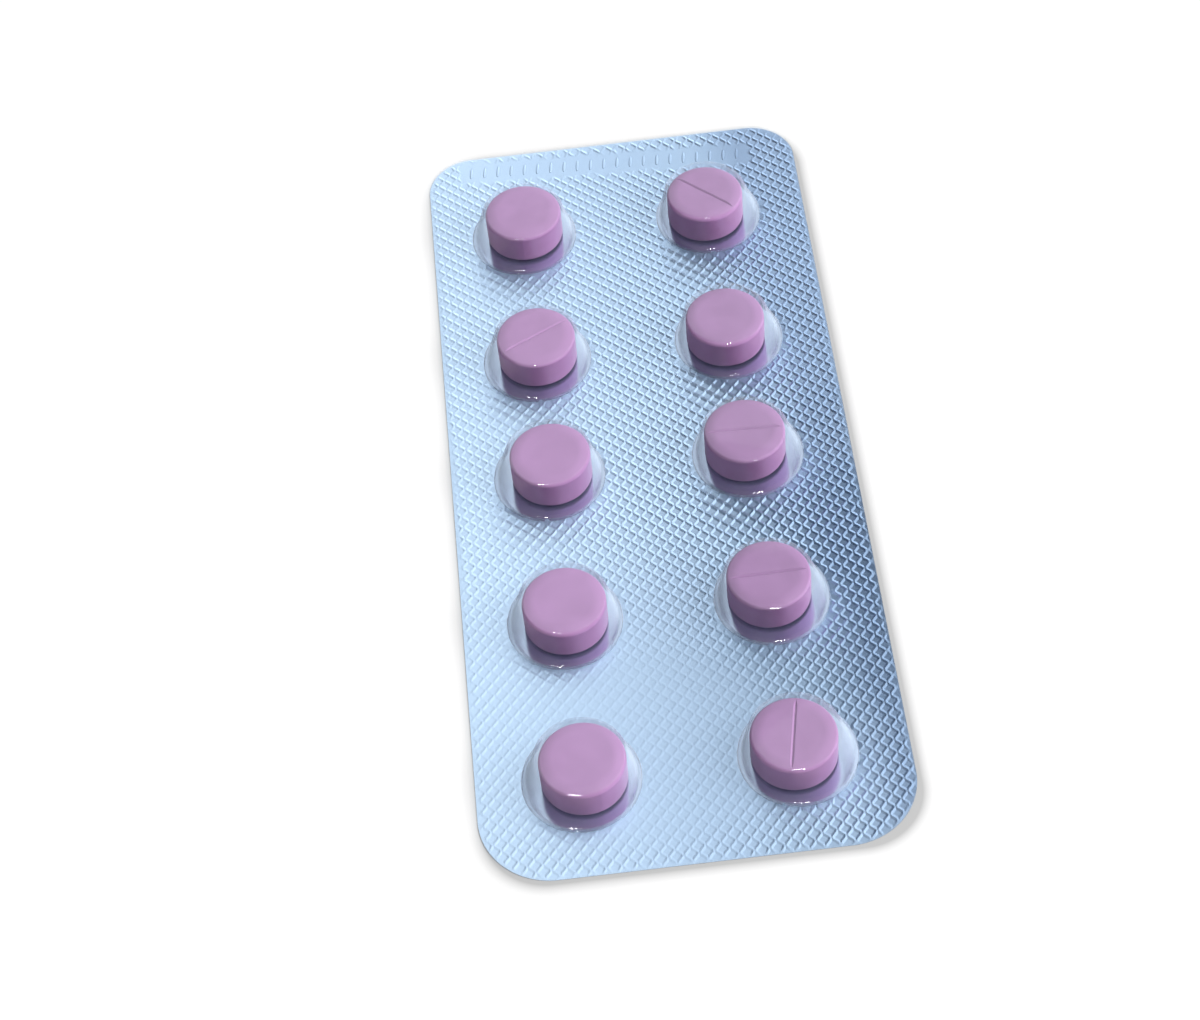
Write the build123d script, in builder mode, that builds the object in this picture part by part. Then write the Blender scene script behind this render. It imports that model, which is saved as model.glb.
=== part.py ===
"""Pill blister pack: a clear formed film, its lidding foil and ten scored tablets.

Units are millimetres, +Z up. The origin is on the surface that the foil lies on, under
the middle of the pack. +Y runs along the pack to its top edge, and +X across it.
"""

import os

from build123d import *

# The card: the outline that the film and the foil share.
pack_width = 39.8
pack_length = 91.0
top_corner_radius = 4.8
bottom_corner_radius = 6.8

# The two sheets' thicknesses. Drawing up the pockets thins the film in them.
film_thickness = 0.25
pocket_wall_thickness = 0.15
foil_thickness = 0.05

# The grid of pockets: two columns of five, from the card's edges to the pockets' middles.
# One step in each column is shorter, by this share of the others.
left_column_margin = 9.88
right_column_margin = 10.47
bottom_row_margin = 10.1
top_row_margin = 12.4
row_count = 5
short_step = 3
short_step_share = 0.87

# A tablet: a flat-faced round with a shallow bevel round each face and one score line.
tablet_diameter = 8.0
tablet_thickness = 3.7
bevel_width = 0.85
bevel_height = 0.25
face_edge_softening = 2.4
rim_softening = 0.35
score_width = 0.36
score_depth = 0.16

# A pocket. The outside of its wall stands this far out from the tablet's side.
wall_foot_distance = 1.2
wall_top_distance = 0.24
foot_fillet = 0.4
shoulder_fillet = 0.45
flange_overlap = 0.3
headroom = 0.1
tablet_side_gap = 0.05

# Where each tablet has slid to in its pocket, as shares of the free play across and along,
# the turn of its score line in degrees, and whether that line is on the upper face.
# Rows are numbered from the bottom edge.
tablet_seat_shares = {
    "left": [
        (0.77, -0.41, 70, False),
        (0.02, -0.95, 20, False),
        (0.88, 0.06, 140, False),
        (-0.07, 0.95, 27, True),
        (0.17, 0.94, 95, False),
    ],
    "right": [
        (-0.84, -0.45, 79, True),
        (-0.05, 0.95, 1, True),
        (-0.06, 0.95, -2, True),
        (-0.52, -0.80, 35, False),
        (-0.28, -0.91, -43, True),
    ],
}

# The pockets' places, worked out from the card's size and the margins.
row_room = pack_length - bottom_row_margin - top_row_margin
row_pitch = row_room / (row_count - 2 + short_step_share)
row_steps = [row_pitch] * (row_count - 1)
row_steps[short_step - 1] = short_step_share * row_pitch
row_places = [-pack_length / 2 + bottom_row_margin]
for step in row_steps:
    row_places.append(row_places[-1] + step)
left_column = -pack_width / 2 + left_column_margin
right_column = pack_width / 2 - right_column_margin
column_places = {"left": left_column, "right": right_column}
pocket_places = [(x, y) for x in column_places.values() for y in row_places]

# The pocket's radii and heights, and the room that a tablet has at the top of its side wall.
pocket_foot_radius = tablet_diameter / 2 + wall_foot_distance
pocket_top_radius = tablet_diameter / 2 + wall_top_distance
flange_top = foil_thickness + film_thickness
pocket_top = foil_thickness + tablet_thickness + headroom + pocket_wall_thickness
wall_slope = (pocket_foot_radius - pocket_top_radius) / (pocket_top - flange_top)
band_top = foil_thickness + tablet_thickness - bevel_height
wall_at_band = pocket_foot_radius - wall_slope * (band_top - flange_top)
tablet_play = wall_at_band - pocket_wall_thickness - tablet_diameter / 2 - tablet_side_gap
joint_radius = pocket_foot_radius + foot_fillet + flange_overlap

os.makedirs("parts", exist_ok=True)

# The card's outline, with its tighter corners at the top.
with BuildSketch() as card:
    Rectangle(pack_width, pack_length)
    fillet(card.vertices().group_by(Axis.Y)[-1], radius=top_corner_radius)
    fillet(card.vertices().group_by(Axis.Y)[0], radius=bottom_corner_radius)

# The lidding foil: one flat sheet under everything.
with BuildPart() as lidding_foil:
    with BuildSketch():
        add(card.sketch)
    extrude(amount=foil_thickness)

# One pocket wall: the film drawn up over a tablet, with a rounded foot and shoulder.
with BuildPart() as pocket_wall:
    with BuildSketch(Plane.XZ):
        with BuildLine():
            FilletPolyline(
                (joint_radius, flange_top),
                (pocket_foot_radius, flange_top),
                (pocket_top_radius, pocket_top),
                (0, pocket_top),
                radius=[foot_fillet, shoulder_fillet],
            )
            offset(amount=pocket_wall_thickness, side=Side.LEFT)
        make_face()
    revolve(axis=Axis.Z)

# The film: a flat flange with a round opening under each pocket wall.
with BuildPart() as blister_film:
    with BuildSketch(Plane.XY.offset(foil_thickness)):
        add(card.sketch)
        with Locations(*pocket_places):
            Circle(joint_radius, mode=Mode.SUBTRACT)
    extrude(amount=film_thickness)
    with Locations(*pocket_places):
        add(pocket_wall.part)

# One tablet, centred on the origin, with the score line along X across its upper face.
with BuildPart() as scored_tablet:
    with BuildSketch(Plane.XZ) as tablet_half:
        with BuildLine():
            Polyline(
                (0, -tablet_thickness / 2),
                (tablet_diameter / 2 - bevel_width, -tablet_thickness / 2),
                (tablet_diameter / 2, -tablet_thickness / 2 + bevel_height),
                (tablet_diameter / 2, tablet_thickness / 2 - bevel_height),
                (tablet_diameter / 2 - bevel_width, tablet_thickness / 2),
                (0, tablet_thickness / 2),
                close=True,
            )
        make_face()
        face_edges = [v for v in tablet_half.vertices() if 0 < v.X < tablet_diameter / 2]
        fillet(face_edges, radius=face_edge_softening)
        rim_corners = tablet_half.vertices().group_by(Axis.X)[-1]
        fillet(rim_corners, radius=rim_softening)
    revolve(axis=Axis.Z)
    with BuildSketch(Plane.YZ):
        with Locations((0, tablet_thickness / 2)):
            Polygon(
                (-score_width / 2, 0),
                (0, -score_depth),
                (score_width / 2, 0),
                align=None,
            )
    extrude(amount=tablet_diameter / 2, both=True, mode=Mode.SUBTRACT)

# The ten tablets, each lying on the foil where it has slid to in its pocket.
tablets = []
for side, seats in tablet_seat_shares.items():
    for row, (across_share, along_share, turn, score_up) in enumerate(seats):
        x = column_places[side] + across_share * tablet_play
        y = row_places[row] + along_share * tablet_play
        z = foil_thickness + tablet_thickness / 2
        tip = 0 if score_up else 180
        with BuildPart() as tablet:
            with Locations(Location((x, y, z), (tip, 0, turn))):
                add(scored_tablet.part)
        tablet.part.label = f"tablet_{side}_{row + 1}"
        tablets.append(tablet.part)

lidding_foil.part.label = "lidding_foil"
blister_film.part.label = "blister_film"
export_step(lidding_foil.part, "parts/lidding_foil.step")
export_step(blister_film.part, "parts/blister_film.step")
for tablet_part in tablets:
    export_step(tablet_part, f"parts/{tablet_part.label}.step")
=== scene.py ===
import math

import bpy
from mathutils import Matrix, Vector


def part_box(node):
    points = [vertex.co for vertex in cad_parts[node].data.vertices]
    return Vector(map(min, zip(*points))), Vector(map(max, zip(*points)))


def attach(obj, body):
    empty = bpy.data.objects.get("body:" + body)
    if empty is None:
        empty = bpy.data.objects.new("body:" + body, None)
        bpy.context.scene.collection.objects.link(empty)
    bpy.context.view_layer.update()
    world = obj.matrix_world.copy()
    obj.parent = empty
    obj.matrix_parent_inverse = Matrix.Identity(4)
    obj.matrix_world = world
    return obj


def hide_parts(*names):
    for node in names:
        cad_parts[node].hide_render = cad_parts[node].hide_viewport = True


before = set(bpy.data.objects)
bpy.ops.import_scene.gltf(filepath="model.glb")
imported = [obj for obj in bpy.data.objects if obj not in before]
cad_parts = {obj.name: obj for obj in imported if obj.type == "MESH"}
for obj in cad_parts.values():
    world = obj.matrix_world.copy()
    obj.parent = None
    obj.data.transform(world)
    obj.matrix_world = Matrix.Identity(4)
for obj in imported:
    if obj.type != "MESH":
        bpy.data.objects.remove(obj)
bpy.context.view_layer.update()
mm = 0.001
card_low, card_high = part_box("lidding_foil")
card_width, card_length = (card_high - card_low).xy


# The camera stands in front of the pack and above it, turned a little on its own axis,
# where the photograph was taken from. Its place was fitted to the card and the tablets.
camera_place = Vector((-6.28, -159.95, 200.53)) * mm
camera_turn = math.radians(0.252)
camera_drop = math.radians(52.286)
camera_roll = math.radians(-6.510)
camera_lens = 77.46

ahead = Vector((math.sin(camera_turn) * math.cos(camera_drop),
                math.cos(camera_turn) * math.cos(camera_drop), -math.sin(camera_drop)))
level = Vector((math.cos(camera_turn), -math.sin(camera_turn), 0))
upright = level.cross(ahead)
right = math.cos(camera_roll) * level + math.sin(camera_roll) * upright
up = math.cos(camera_roll) * upright - math.sin(camera_roll) * level
camera = bpy.data.objects.new("camera", bpy.data.cameras.new("camera"))
bpy.context.scene.collection.objects.link(camera)
camera.matrix_world = Matrix((right, up, -ahead)).transposed().to_4x4()
camera.location = camera_place
camera.data.lens = camera_lens
camera.data.sensor_width = 36
camera.data.clip_start = 0.01
camera.data.clip_end = 20
bpy.context.scene.camera = camera
bpy.context.scene.view_settings.view_transform = "Standard"


# The table is a white sheet of card with a faint tooth. What looks at it or is mirrored in the pack
# sees it as the plain white ground, with a painted shadow round the pack: a narrow soft band where
# its colour and glow are darkened.
def node(tree, kind, feeds=(), **settings):
    """A new node with these settings, its inputs fed by other nodes or by plain values."""
    made = tree.nodes.new(kind)
    for name, value in settings.items():
        setattr(made, name, value)
    for socket, feed in feeds:
        if isinstance(feed, bpy.types.NodeSocket):
            tree.links.new(feed, made.inputs[socket])
        else:
            made.inputs[socket].default_value = feed
    return made


def sums(tree, operation, *values):
    return node(tree, "ShaderNodeMath", list(enumerate(values)), operation=operation).outputs[0]


def vectors(tree, operation, *values, out="Vector"):
    return node(tree, "ShaderNodeVectorMath", list(enumerate(values)),
                operation=operation).outputs[out]


def mapped(tree, value, start, end, low=0.0, high=1.0, **settings):
    return node(tree, "ShaderNodeMapRange", [("Value", value), ("From Min", start),
                ("From Max", end), ("To Min", low), ("To Max", high)], **settings).outputs[0]


def finish_of(name):
    material = bpy.data.materials.new(name)
    material.use_nodes = True
    tree = material.node_tree
    tree.nodes.clear()
    return material, tree, node(tree, "ShaderNodeOutputMaterial").inputs["Surface"]


def seen_or_mirrored(tree):
    """1 for what is looked at, straight or in a mirror, and 0 for the light on other things."""
    path = node(tree, "ShaderNodeLightPath").outputs
    seen = sums(tree, "MAXIMUM", path["Is Camera Ray"], path["Is Glossy Ray"])
    seen = sums(tree, "MAXIMUM", seen, path["Is Transmission Ray"])
    return sums(tree, "MULTIPLY", seen, sums(tree, "LESS_THAN", path["Diffuse Depth"], 0.5))


def stage_sheet(name, width, height, stand, finish):
    """A flat sheet beside or under the pack, which faces up until it is stood in place."""
    x, y = width / 2, height / 2
    corners = [stand @ Vector(c) for c in ((-x, -y, 0), (x, -y, 0), (x, y, 0), (-x, y, 0))]
    mesh = bpy.data.meshes.new(name)
    mesh.from_pydata(corners, [], [(0, 1, 2, 3)])
    mesh.materials.append(finish)
    sheet = bpy.data.objects.new(name, mesh)
    bpy.context.scene.collection.objects.link(sheet)
    return sheet


table_side = 6.0
table_drop = 0.02 * mm
# The painted shadow round the card: where its band starts, how it is shifted, how far it reaches
# and how dark it is.
shade_corner = 6.0 * mm
shade_shift = (0.35 * mm, -0.35 * mm, 0)
shade_reach = 0.9 * mm
shade_depth = 0.52
near_distance, near_white = 0.1, 0.31
far_distance, far_white = 0.6, 0.75

white_card, tree, surface = finish_of("white_card")
tooth = node(tree, "ShaderNodeTexNoise", [("Scale", 900.0), ("Detail", 3.0)])
tooth_bump = node(tree, "ShaderNodeBump", [("Strength", 0.03), ("Height", tooth.outputs[0])])
spot = node(tree, "ShaderNodeTexCoord").outputs["Object"]
folded = vectors(tree, "ABSOLUTE", vectors(tree, "SUBTRACT", spot, shade_shift))
core_corner = (card_width / 2 - shade_corner, card_length / 2 - shade_corner, 1.0)
past = vectors(tree, "MAXIMUM", vectors(tree, "SUBTRACT", folded, core_corner), (0, 0, 0))
off_core = vectors(tree, "LENGTH", past, out="Value")
beyond = sums(tree, "MAXIMUM", sums(tree, "SUBTRACT", off_core, shade_corner), 0.0)
fading = sums(tree, "EXPONENT", sums(tree, "DIVIDE", beyond, -shade_reach))
# Painted shadow: the table's colour and glow are darkened in a soft band round the card's outline.
painted_shade = sums(tree, "MULTIPLY_ADD", fading, -shade_depth, 1.0)
paper = node(tree, "ShaderNodeBsdfPrincipled", [("Base Color", sums(tree, "MULTIPLY", painted_shade, 0.90)),
             ("Roughness", 0.8), ("Specular IOR Level", 0.2), ("Normal", tooth_bump.outputs[0])])
away = vectors(tree, "LENGTH", spot, out="Value")
white = mapped(tree, away, near_distance, far_distance, near_white, far_white)
glow = sums(tree, "MULTIPLY", sums(tree, "MULTIPLY", seen_or_mirrored(tree), white), painted_shade)
ground = node(tree, "ShaderNodeEmission", [("Color", (1, 1, 1, 1)), ("Strength", glow)])
both = node(tree, "ShaderNodeAddShader", [(0, paper.outputs[0]), (1, ground.outputs[0])])
tree.links.new(both.outputs[0], surface)

table = stage_sheet("table", table_side, table_side, Matrix(), white_card)
table.location.z = -table_drop


# The studio is one white room with a big soft lamp on the right. Plain cards
# stand round the pack for what is mirrored in it: dark on the left, bright elsewhere.
white_room_level = 0.33

world = bpy.data.worlds.new("white_room")
bpy.context.scene.world = world
world.use_nodes = True
world.cycles.sampling_method = "NONE"
tree = world.node_tree
tree.nodes.clear()
strength = mapped(tree, seen_or_mirrored(tree), 0.0, 1.0, white_room_level, 1.0)
room = node(tree, "ShaderNodeBackground", [("Color", (1, 1, 1, 1)), ("Strength", strength)])
tree.links.new(room.outputs[0], node(tree, "ShaderNodeOutputWorld").inputs["Surface"])


def toward(azimuth, elevation):
    """The way out from the pack, in degrees: the azimuth is from +Y towards +X."""
    a, e = math.radians(azimuth), math.radians(elevation)
    return Vector((math.sin(a) * math.cos(e), math.cos(a) * math.cos(e), math.sin(e)))


lamp_way = toward(azimuth=100, elevation=36)
lamp_distance = 0.6
lamp_side = 0.36
lamp_radiance = 10.8

lamp = bpy.data.lights.new("right_lamp", "AREA")
lamp.shape = "SQUARE"
lamp.size = lamp_side
lamp.energy = lamp_radiance * math.pi * lamp_side * lamp_side
fitting = bpy.data.objects.new("right_lamp", lamp)
fitting.location = lamp_way * lamp_distance
fitting.rotation_euler = lamp_way.to_track_quat("Z", "Y").to_euler()
fitting.visible_camera = fitting.visible_transmission = fitting.visible_glossy = False
bpy.context.scene.collection.objects.link(fitting)


def mirror_card(name, azimuth, elevation, distance, width, height, level, tone=(1, 1, 1)):
    """A glowing card, which only what is mirrored in the pack shows."""
    paint, tree, surface = finish_of(name)
    shine = sums(tree, "MULTIPLY", seen_or_mirrored(tree), level)
    glow = node(tree, "ShaderNodeEmission", [("Color", (*tone, 1)), ("Strength", shine)])
    tree.links.new(glow.outputs[0], surface)
    way = toward(azimuth, elevation)
    stand = Matrix.Translation(way * distance) @ way.to_track_quat("Z", "Y").to_matrix().to_4x4()
    card = stage_sheet(name, width, height, stand, paint)
    card.visible_camera = card.visible_diffuse = card.visible_shadow = False


mirror_card("left_card", -62, 38, 0.6, 0.70, 0.72, level=0.08, tone=(0.4, 0.6, 1.0))
mirror_card("right_card", 68, 60, 0.6, 0.50, 0.45, level=1.7)
mirror_card("back_card", 18, 23, 0.6, 0.34, 0.34, level=2.3)
mirror_card("glint_card", 200, 66, 0.5, 0.11, 0.06, level=110)


# The lidding foil is hard aluminium foil, sealed to the film under a knurled plate. The
# plate leaves small flat pads between fine ridges, but leaves the pockets' floors smooth.
# It is made by repeating one pad on a turned grid and trimming the edge to the card.
top_corner_radius = 4.8 * mm
bottom_corner_radius = 6.8 * mm
foil_gauge = 0.05 * mm

# The middles of the pockets' feet.
foot_x = (-10.15 * mm, 9.65 * mm)
row_y = [y * mm for y in (-35.4, -17.7, 0.0, 15.4, 33.1)]

# The knurl, and how near to each other points are welded, or to a pocket's ring caught by it.
pad_pitch = 0.98 * mm
pad_turn = math.radians(48)
ridge_half_width = 0.23 * mm
ridge_height = 0.075 * mm
weld = 0.02 * mm
fine_weld = 0.002 * mm
smooth_ring_radius = 5.5 * mm
ring_catch = 0.3 * mm
floor_mound = 0.08 * mm

# The bare strip near the top edge.
strip_middle = (-0.7 * mm, 42.55 * mm)
strip_half_length = 15.7 * mm
strip_half_height = 1.45 * mm
strip_slope = -0.058
strip_fade = 0.4 * mm

# Where the plate pressed less: at the cut edge, in the lower middle, and towards the left.
edge_plain = 0.05 * mm
edge_fade = 0.6 * mm
weak_press_middle = (-2 * mm, -33 * mm, 0)
weak_press_share = 0.15
weak_press_from, weak_press_to = 9 * mm, 27 * mm
light_press_share = 0.45
light_press_from, light_press_to = -10 * mm, 19 * mm
light_press_slant = -0.25


def part(tree, vector, axis):
    return node(tree, "ShaderNodeSeparateXYZ", [(0, vector)]).outputs[axis]


def point(tree, **parts):
    return node(tree, "ShaderNodeCombineXYZ", list(parts.items())).outputs[0]


def step(tree, kind, mesh, *feeds, **settings):
    """One step of a geometry tree, from one mesh to the next."""
    return node(tree, "GeometryNode" + kind, [(0, mesh), *feeds], **settings).outputs[0]


def geometry_tree(name, inputs):
    """A new tree with these named inputs: the tree, what it is given and where it ends."""
    tree = bpy.data.node_groups.new(name, "GeometryNodeTree")
    tree.is_modifier = True
    tree.interface.new_socket("Geometry", in_out="INPUT", socket_type="NodeSocketGeometry")
    tree.interface.new_socket("Geometry", in_out="OUTPUT", socket_type="NodeSocketGeometry")
    for label, kind in inputs.items():
        tree.interface.new_socket(label, in_out="INPUT", socket_type="NodeSocket" + kind)
    return tree, node(tree, "NodeGroupInput").outputs, node(tree, "NodeGroupOutput").inputs[0]


def made_by(tree, name, start, values):
    """The piece that a geometry tree makes from a start mesh, with its named inputs set."""
    raw = bpy.data.objects.new(name + "_start", start)
    bpy.context.scene.collection.objects.link(raw)
    maker = raw.modifiers.new("maker", "NODES")
    maker.node_group = tree
    for item in tree.interface.items_tree:
        if item.in_out == "INPUT" and item.name in values:
            maker[item.identifier] = values[item.name]
    raw.data.update()
    bpy.context.view_layer.update()
    whole = raw.evaluated_get(bpy.context.evaluated_depsgraph_get())
    mesh = bpy.data.meshes.new_from_object(whole)
    bpy.data.objects.remove(raw)
    mesh.name = name
    piece = bpy.data.objects.new(name, mesh)
    bpy.context.scene.collection.objects.link(piece)
    return piece


# One pad of the knurl: a flat square with a ridge's slope on each side.
pad_half = pad_pitch / 2
pad_lines = (-pad_half, -pad_half + ridge_half_width, pad_half - ridge_half_width, pad_half)
one_pad = bpy.data.meshes.new("one_pad")
one_pad.from_pydata(
    [(x, y, 0 if i in (1, 2) and j in (1, 2) else ridge_height)
     for j, y in enumerate(pad_lines) for i, x in enumerate(pad_lines)],
    [],
    [(4 * j + i, 4 * j + i + 1, 4 * j + i + 5, 4 * j + i + 4) for j in range(3) for i in range(3)])

middles_mesh = bpy.data.meshes.new("pocket_middles")
middles_mesh.from_pydata([(x, y, 0) for x in foot_x for y in row_y], [], [])
middles = bpy.data.objects.new("pocket_middles", middles_mesh)
bpy.context.scene.collection.objects.link(middles)

knurl, given, knurl_end = geometry_tree("knurled_sheet", {
    "Pocket middles": "Object", "Hole radius": "Float", "Relief": "Float", "Top": "Float",
    "Gauge": "Float", "Finish": "Material"})
here = node(knurl, "GeometryNodeInputPosition").outputs[0]
flat_here = vectors(knurl, "MULTIPLY", here, (1, 1, 0))
height_here = vectors(knurl, "MULTIPLY", here, (0, 0, 1))

# How far a point lies from the card's core, which is inside its edge by the corner radius.
in_top_half = sums(knurl, "GREATER_THAN", part(knurl, here, "Y"), 0.0)
corner = sums(knurl, "MULTIPLY_ADD", in_top_half, top_corner_radius - bottom_corner_radius,
              bottom_corner_radius)
core_high = vectors(knurl, "SUBTRACT", (card_width / 2, card_length / 2, 0),
                    point(knurl, X=corner, Y=corner))
core_low = vectors(knurl, "MULTIPLY", core_high, (-1, -1, -1))
core = vectors(knurl, "MAXIMUM", vectors(knurl, "MINIMUM", flat_here, core_high), core_low)
way_out = vectors(knurl, "SUBTRACT", flat_here, core)
out_by = vectors(knurl, "LENGTH", way_out, out="Value")
outside = sums(knurl, "GREATER_THAN", out_by, corner)

# How far a point lies from the nearest pocket's middle.
pockets = node(knurl, "GeometryNodeObjectInfo",
               [("Object", given["Pocket middles"])]).outputs["Geometry"]
middle = step(knurl, "SampleIndex", pockets, ("Value", here),
              ("Index", step(knurl, "SampleNearest", pockets)), data_type="FLOAT_VECTOR")
spoke = vectors(knurl, "SUBTRACT", flat_here, middle)
spoke_length = vectors(knurl, "LENGTH", spoke, out="Value")


def either(question, yes, no):
    return node(knurl, "GeometryNodeSwitch", [("Switch", question), ("False", no), ("True", yes)],
                input_type="FLOAT").outputs[0]


def slid(mesh, start, way, share):
    """The mesh with each point at a share of its way from a start, at the height it had."""
    shared = node(knurl, "ShaderNodeVectorMath", [(0, way), ("Scale", share)], operation="SCALE")
    place = vectors(knurl, "ADD", vectors(knurl, "ADD", start, shared.outputs[0]), height_here)
    return step(knurl, "SetPosition", mesh, ("Position", place))


def smooth(value, start, end):
    return mapped(knurl, value, start, end, interpolation_type="SMOOTHSTEP")


# The pads are laid out on the turned grid and welded. Points near a smooth ring snap to it.
grid_count = int(math.hypot(card_width, card_length) / pad_pitch) + 3
grid_side = (grid_count - 1) * pad_pitch
grid = node(knurl, "GeometryNodeMeshGrid", [("Size X", grid_side), ("Size Y", grid_side),
            ("Vertices X", grid_count), ("Vertices Y", grid_count)]).outputs[0]
grid = step(knurl, "Transform", grid, ("Rotation", (0, 0, pad_turn)))
too_far = sums(knurl, "GREATER_THAN", sums(knurl, "SUBTRACT", out_by, corner), pad_pitch)
grid = step(knurl, "DeleteGeometry", grid, ("Selection", too_far), domain="POINT")
sheet = step(knurl, "InstanceOnPoints", grid, ("Instance", given["Geometry"]),
             ("Rotation", (0, 0, pad_turn)))
sheet = step(knurl, "RealizeInstances", sheet)
sheet = step(knurl, "MergeByDistance", sheet, ("Distance", weld))
off_ring = sums(knurl, "ABSOLUTE", sums(knurl, "SUBTRACT", spoke_length, smooth_ring_radius))
to_ring = sums(knurl, "DIVIDE", smooth_ring_radius, spoke_length)
sheet = slid(sheet, middle, spoke,
             either(sums(knurl, "LESS_THAN", off_ring, ring_catch), to_ring, 1.0))
sheet = step(knurl, "MergeByDistance", sheet, ("Distance", weld))

# The relief is the pad's own height times how hard the plate pressed at that place.
off_pocket = smooth(spoke_length, smooth_ring_radius, smooth_ring_radius + ring_catch)
along = sums(knurl, "ABSOLUTE", sums(knurl, "SUBTRACT", part(knurl, here, "X"), strip_middle[0]))
strip_line = sums(knurl, "MULTIPLY_ADD", part(knurl, here, "X"), strip_slope, strip_middle[1])
across = sums(knurl, "ABSOLUTE", sums(knurl, "SUBTRACT", part(knurl, here, "Y"), strip_line))
off_strip = sums(knurl, "MAXIMUM", smooth(along, strip_half_length, strip_half_length + strip_fade),
                 smooth(across, strip_half_height, strip_half_height + strip_fade))
off_edge = smooth(sums(knurl, "SUBTRACT", corner, out_by), edge_plain, edge_fade)
rightward = sums(knurl, "MULTIPLY_ADD", part(knurl, here, "Y"), light_press_slant,
                 part(knurl, here, "X"))
light_press = mapped(knurl, rightward, light_press_from, light_press_to, light_press_share, 1.0)
from_weak = vectors(knurl, "DISTANCE", flat_here, weak_press_middle, out="Value")
weak_press = mapped(knurl, from_weak, weak_press_from, weak_press_to, weak_press_share, 1.0)
relief = off_pocket
for share in (off_strip, part(knurl, here, "Z"), off_edge, light_press, weak_press,
              given["Relief"]):
    relief = sums(knurl, "MULTIPLY", relief, share)
lifted = vectors(knurl, "ADD", flat_here,
                 point(knurl, Z=sums(knurl, "ADD", relief, given["Top"])))
on_floor = sums(knurl, "LESS_THAN", spoke_length, smooth_ring_radius + weld / 2)
sheet = step(knurl, "StoreNamedAttribute", sheet, ("Name", "smooth_floor"),
             ("Value", on_floor), data_type="FLOAT")
sheet = step(knurl, "StoreNamedAttribute", sheet, ("Name", "from_middle"), ("Value", spoke),
             data_type="FLOAT_VECTOR")
sheet = step(knurl, "SetPosition", sheet, ("Position", lifted))

# Faces wholly outside the card or in a hole go, and the edges left are pulled to the line.
in_hole = sums(knurl, "LESS_THAN", spoke_length, given["Hole radius"])
for gone in (outside, in_hole):
    by_corner = node(knurl, "GeometryNodeFieldOnDomain", [(0, gone)], domain="POINT",
                     data_type="BOOLEAN").outputs[0]
    sheet = step(knurl, "DeleteGeometry", sheet, ("Selection", by_corner), domain="FACE")
to_edge = sums(knurl, "MINIMUM", sums(knurl, "DIVIDE", corner, out_by), 1.0)
sheet = slid(sheet, core, way_out, either(outside, to_edge, 1.0))
to_hole = sums(knurl, "MAXIMUM", sums(knurl, "DIVIDE", given["Hole radius"], spoke_length), 1.0)
sheet = slid(sheet, middle, spoke, to_hole)

# The sheet gets its gauge downwards.
down = point(knurl, Z=sums(knurl, "MULTIPLY", given["Gauge"], -1.0))
under = step(knurl, "ExtrudeMesh", sheet, ("Offset", down), ("Individual", False), mode="FACES")
under = step(knurl, "FlipFaces", under)
joined = node(knurl, "GeometryNodeJoinGeometry")
knurl.links.new(sheet, joined.inputs[0])
knurl.links.new(under, joined.inputs[0])
closed = step(knurl, "MergeByDistance", joined.outputs[0], ("Distance", fine_weld))
closed = step(knurl, "SetShadeSmooth", closed, ("Shade Smooth", False))
closed = step(knurl, "RealizeInstances", closed)
closed = step(knurl, "SetMaterial", closed, ("Material", given["Finish"]))
knurl.links.new(closed, knurl_end)


# The whole sheet bows a little, which the finishes show as a slope.
bow_slope = 0.16
bow_tilt = 0.04
bow_belly = -10 * mm
bow_reach = 35 * mm
belly_share, end_share = 1.25, 0.75


def bow_bump(tree, strength=1.0):
    """The faint trough along the pack: what it mirrors shifts, though its height hardly does."""
    place = node(tree, "ShaderNodeTexCoord").outputs["Object"]
    across = part(tree, place, "X")
    curve = sums(tree, "MULTIPLY_ADD", across, bow_slope / card_width, bow_tilt)
    from_belly = sums(tree, "ABSOLUTE", sums(tree, "SUBTRACT", part(tree, place, "Y"), bow_belly))
    share = mapped(tree, from_belly, 0.0, bow_reach, belly_share, end_share,
                   interpolation_type="SMOOTHSTEP")
    lift = sums(tree, "MULTIPLY", sums(tree, "MULTIPLY", curve, across), share)
    return node(tree, "ShaderNodeBump", [("Strength", strength), ("Distance", 1.0),
                ("Height", lift)]).outputs[0]


def colours(tree, value, stops):
    """The colour at a value, between stops of a place and a colour each."""
    made = node(tree, "ShaderNodeValToRGB", [(0, value)])
    ends = made.color_ramp.elements
    ends[0].position, ends[0].color = stops[0]
    ends[1].position, ends[1].color = stops[-1]
    for place, colour in stops[1:-1]:
        made.color_ramp.elements.new(place).color = colour
    return made.outputs[0]


satin_foil, tree, surface = finish_of("satin_foil")
place = node(tree, "ShaderNodeTexCoord").outputs["Object"]
# Painted reflection: the foil's blue is painted paler left of the middle and darker towards the
# right edge, for what the bowed foil mirrors. The faint noise in it is a random tone.
haze = node(tree, "ShaderNodeTexNoise", [("Vector", place), ("Scale", 45.0), ("Detail", 3.0)])
drift = sums(tree, "MULTIPLY_ADD", haze.outputs[0], 0.008, part(tree, place, "X"))
drift = sums(tree, "MULTIPLY_ADD", part(tree, place, "Y"), 0.06, drift)
painted_reflection = colours(tree, mapped(tree, drift, -card_width / 2, card_width / 2),
                [(0.0, (0.57, 0.72, 0.88, 1)), (0.30, (0.59, 0.75, 0.93, 1)),
                 (0.62, (0.54, 0.70, 0.89, 1)), (0.86, (0.51, 0.67, 0.86, 1)),
                 (1.0, (0.36, 0.49, 0.68, 1))])
smooth_floor = node(tree, "ShaderNodeAttribute", attribute_name="smooth_floor").outputs["Fac"]
floor_share = mapped(tree, smooth_floor, 0.7, 1.0)
tone = node(tree, "ShaderNodeMix", [("Factor", floor_share), ("A", painted_reflection),
            ("B", (0.57, 0.66, 0.80, 1))], data_type="RGBA")
satin = mapped(tree, floor_share, 0.0, 1.0, 0.30, 0.15)
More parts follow.
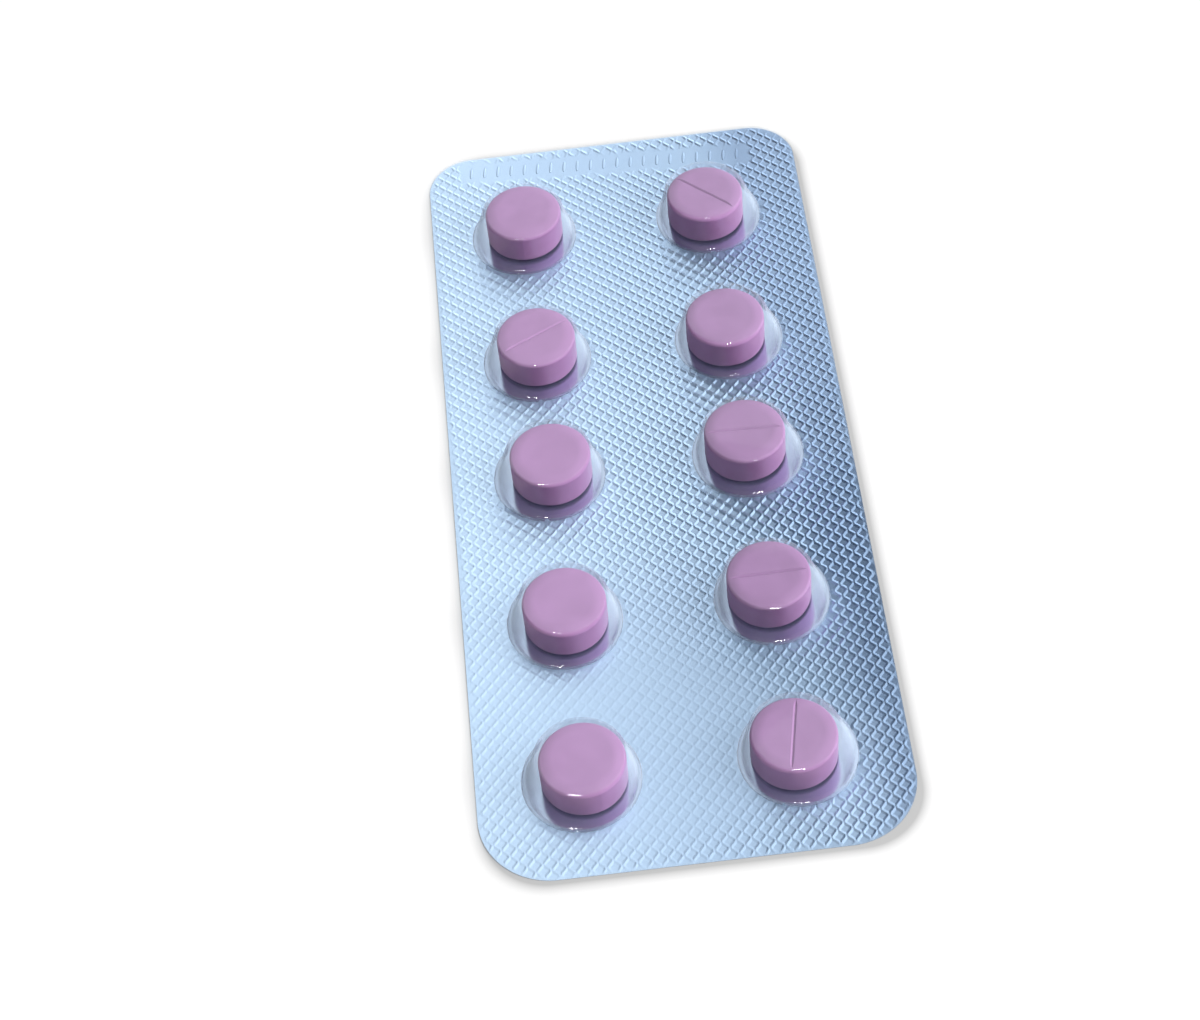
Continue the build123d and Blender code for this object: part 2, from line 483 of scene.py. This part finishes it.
bareness = mapped(tree, floor_share, 0.0, 1.0, 0.85, 0.94)
from_middle = node(tree, "ShaderNodeAttribute", attribute_name="from_middle").outputs["Vector"]
sideways = sums(tree, "DIVIDE", part(tree, from_middle, "X"), smooth_ring_radius)
mound = sums(tree, "MULTIPLY", sums(tree, "POWER", sums(tree, "ABSOLUTE", sideways), 4.0),
             -floor_mound)
bow = bow_bump(tree, sums(tree, "MULTIPLY_ADD", floor_share, -0.6, 1.0))
floor_bump = node(tree, "ShaderNodeBump", [("Strength", floor_share), ("Distance", 1.0),
                  ("Height", mound), ("Normal", bow)])
foil_skin = node(tree, "ShaderNodeBsdfPrincipled", [("Base Color", tone.outputs["Result"]),
                 ("Metallic", bareness), ("Roughness", satin), ("Normal", floor_bump.outputs[0])])
tree.links.new(foil_skin.outputs[0], surface)


def knurled_sheet(name, hole_radius, relief, top, gauge, finish):
    return made_by(knurl, name, one_pad, {
        "Pocket middles": middles, "Hole radius": hole_radius, "Relief": relief, "Top": top,
        "Gauge": gauge, "Finish": finish})


foil = knurled_sheet("knurled_foil", 0.0, 1.0, foil_gauge, foil_gauge, satin_foil)
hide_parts("lidding_foil")
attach(foil, "root")


# The strip near the top edge is pressed with a row of short plain bars. They are low
# mounds in the foil, repeated along the strip at an even step.
bar_count = 21
bar_step = 1.45 * mm
bar_start = strip_middle[0] - (bar_count - 1) / 2 * bar_step
bar_half_size = (0.17 * mm, 0.85 * mm, 0.03 * mm)
bar_slant = math.radians(-8)

bar_row, given, bar_row_end = geometry_tree("pressed_bars", {
    "Count": "Int", "Start": "Vector", "Step": "Vector", "Finish": "Material"})
row = node(bar_row, "GeometryNodeMeshLine", [("Count", given["Count"]),
           ("Start Location", given["Start"]), ("Offset", given["Step"])]).outputs[0]
mound = node(bar_row, "GeometryNodeMeshUVSphere", [("Segments", 10), ("Rings", 6),
             ("Radius", 1.0)]).outputs[0]
mound = step(bar_row, "Transform", mound, ("Rotation", (0, 0, bar_slant)),
             ("Scale", bar_half_size))
mound = step(bar_row, "SetShadeSmooth", mound)
mounds = step(bar_row, "InstanceOnPoints", row, ("Instance", mound))
mounds = step(bar_row, "RealizeInstances", mounds)
mounds = step(bar_row, "SetMaterial", mounds, ("Material", given["Finish"]))
bar_row.links.new(mounds, bar_row_end)

bars = made_by(bar_row, "pressed_bars", bpy.data.meshes.new("bar_row"), {
    "Count": bar_count,
    "Start": (bar_start, strip_middle[1] + strip_slope * bar_start, foil_gauge),
    "Step": (bar_step, strip_slope * bar_step, 0),
    "Finish": satin_foil})
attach(bars, "root")


# The film is clear rigid plastic, heated and drawn up into ten pockets with a rounded foot
# and shoulder. Its flange takes the knurl faintly, and is thinner here than the real one, to
# leave room for the foil's ridges.
film_top = 0.30 * mm
film_gauge = 0.16 * mm
film_relief = 0.15
pocket_wall_gauge = 0.15 * mm
column_x = (-10.02 * mm, 9.43 * mm)
pocket_joint_radius = 5.5 * mm
pocket_foot_radius = 5.2 * mm
pocket_shoulder_radius = 4.24 * mm
pocket_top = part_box("blister_film")[1].z
foot_fillet = 0.4 * mm
shoulder_fillet = 0.45 * mm
pocket_sides = 80
fillet_steps = 8

clear_plastic, tree, surface = finish_of("clear_plastic")
path = node(tree, "ShaderNodeLightPath").outputs
lit_through = sums(tree, "MAXIMUM", path["Is Shadow Ray"], path["Is Diffuse Ray"])
looked_at = sums(tree, "SUBTRACT", 1.0, lit_through)
place = node(tree, "ShaderNodeTexCoord").outputs["Object"]
ripple = node(tree, "ShaderNodeTexNoise", [("Vector", place), ("Scale", 350.0), ("Detail", 2.0)])
ripple_bump = node(tree, "ShaderNodeBump", [("Strength", 0.25), ("Distance", 0.02 * mm),
                   ("Height", ripple.outputs[0]), ("Normal", bow_bump(tree))]).outputs[0]
facing = node(tree, "ShaderNodeLayerWeight", [("Blend", 0.5),
              ("Normal", ripple_bump)]).outputs["Facing"]
through = node(tree, "ShaderNodeBsdfTransparent", [("Color", (0.97, 0.985, 1.0, 1))])
gloss = node(tree, "ShaderNodeBsdfGlossy", [("Color", (0.97, 0.98, 1.0, 1)),
             ("Roughness", 0.06), ("Normal", ripple_bump)])
glance = sums(tree, "MULTIPLY_ADD", sums(tree, "POWER", facing, 5.0), 0.60, 0.016)
clear = node(tree, "ShaderNodeMixShader", [(0, sums(tree, "MULTIPLY", glance, looked_at)),
             (1, through.outputs[0]), (2, gloss.outputs[0])])

# The clear film turns a little milky where it is seen edge on and over the tablets.
edge_on = sums(tree, "POWER", facing, 3.5)
upward = part(tree, node(tree, "ShaderNodeNewGeometry").outputs["Normal"], "Z")
lying = sums(tree, "POWER", sums(tree, "ABSOLUTE", upward), 6.0)
raised = sums(tree, "GREATER_THAN", part(tree, place, "Z"), 2 * mm)
cloudy = sums(tree, "MULTIPLY", sums(tree, "MULTIPLY", lying, raised), 0.045)
haze = sums(tree, "MULTIPLY", sums(tree, "MULTIPLY_ADD", edge_on, 0.40, cloudy), looked_at)
milk = node(tree, "ShaderNodeBsdfDiffuse", [("Color", (0.82, 0.90, 1.0, 1))])
film_skin = node(tree, "ShaderNodeMixShader", [(0, haze), (1, clear.outputs[0]),
                 (2, milk.outputs[0])])
tree.links.new(film_skin.outputs[0], surface)


def rounded(corners, radii):
    """A profile through these corners, with each inner corner rounded to its radius."""
    line = [Vector(corners[0])]
    for before, at, after, radius in zip(corners, corners[1:], corners[2:], radii):
        a, b, c = Vector(before), Vector(at), Vector(after)
        to_a, to_c = (a - b).normalized(), (c - b).normalized()
        half = to_a.angle(to_c) / 2
        reach = radius / math.tan(half)
        hub = b + (to_a + to_c).normalized() * radius / math.sin(half)
        start, end = b + to_a * reach - hub, b + to_c * reach - hub
        sweep = start.angle_signed(end)
        for k in range(fillet_steps + 1):
            turn = -sweep * k / fillet_steps
            line.append(hub + Vector((start.x * math.cos(turn) - start.y * math.sin(turn),
                                      start.x * math.sin(turn) + start.y * math.cos(turn))))
    line.append(Vector(corners[-1]))
    return line


lean = (pocket_foot_radius - pocket_shoulder_radius) / (pocket_top - film_top)
step_in = pocket_wall_gauge * math.sqrt(1 + lean * lean)
film_under = film_top - film_gauge
pocket_ceiling = pocket_top - pocket_wall_gauge
outer = rounded([(pocket_joint_radius, film_top), (pocket_foot_radius, film_top),
                 (pocket_shoulder_radius, pocket_top), (0, pocket_top)],
                [foot_fillet, shoulder_fillet])
inner = rounded([(pocket_joint_radius, film_under),
                 (pocket_foot_radius + film_gauge * lean - step_in, film_under),
                 (pocket_shoulder_radius + pocket_wall_gauge * lean - step_in, pocket_ceiling),
                 (0, pocket_ceiling)],
                [foot_fillet + pocket_wall_gauge, shoulder_fillet - pocket_wall_gauge])


def pocket_shell(profile, foot, top, cy, outward, corners, faces):
    """One wall surface, whose rings step across from over its foot to over its tablet."""
    base = len(corners)
    rings = len(profile) - 1
    for p in profile[:-1]:
        cx = foot + (top - foot) * (p.y - profile[0].y) / (profile[-1].y - profile[0].y)
        for k in range(pocket_sides):
            a = 2 * math.pi * k / pocket_sides
            corners.append((cx + p.x * math.cos(a), cy + p.x * math.sin(a), p.y))
    corners.append((top, cy, profile[-1].y))
    hub = base + rings * pocket_sides
    for k in range(pocket_sides):
        n = (k + 1) % pocket_sides
        for ring in range(rings - 1):
            a, b = base + ring * pocket_sides, base + (ring + 1) * pocket_sides
            faces.append((a + k, a + n, b + n, b + k) if outward else (a + n, a + k, b + k, b + n))
        last = base + (rings - 1) * pocket_sides
        faces.append((last + k, last + n, hub) if outward else (last + n, last + k, hub))


film = knurled_sheet("formed_film", pocket_joint_radius, film_relief, film_top, film_gauge,
                     clear_plastic)
corners = [tuple(v.co) for v in film.data.vertices]
faces = [tuple(p.vertices) for p in film.data.polygons]
flange_faces = len(faces)
for foot, top in zip(foot_x, column_x):
    for cy in row_y:
        pocket_shell(outer, foot, top, cy, True, corners, faces)
        pocket_shell(inner, foot, top, cy, False, corners, faces)
film_mesh = bpy.data.meshes.new("formed_film")
film_mesh.from_pydata(corners, [], faces)
film_mesh.materials.append(clear_plastic)
film_mesh.polygons.foreach_set("use_smooth", [i >= flange_faces for i in range(len(faces))])
film_mesh.update()
film.data = film_mesh
bpy.data.objects.remove(middles)
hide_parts("blister_film")
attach(film, "root")


# The tablets are pressed from powder and sprayed with a thin mauve coat, which softens
# their rims and the score line and leaves a faint mottle.
tablet_coat, tree, surface = finish_of("tablet_coat")
place = node(tree, "ShaderNodeTexCoord").outputs["Object"]
mottle = node(tree, "ShaderNodeTexNoise", [("Vector", place), ("Scale", 420.0), ("Detail", 4.0)])
tint = colours(tree, mottle.outputs[0],
               [(0.3, (0.48, 0.235, 0.46, 1)), (0.7, (0.54, 0.27, 0.52, 1))])
grain = node(tree, "ShaderNodeTexNoise", [("Vector", place), ("Scale", 1800.0), ("Detail", 3.0)])
grain_bump = node(tree, "ShaderNodeBump", [("Strength", 0.12), ("Distance", 0.03 * mm),
                  ("Height", grain.outputs[0]), ("Normal", bow_bump(tree))])
coat = node(tree, "ShaderNodeBsdfPrincipled", [("Base Color", tint), ("Roughness", 0.42),
            ("Specular IOR Level", 0.15), ("Normal", grain_bump.outputs[0])])
tree.links.new(coat.outputs[0], surface)
for name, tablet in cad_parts.items():
    if name.startswith("tablet"):
        for slot in tablet.material_slots:
            slot.material = tablet_coat
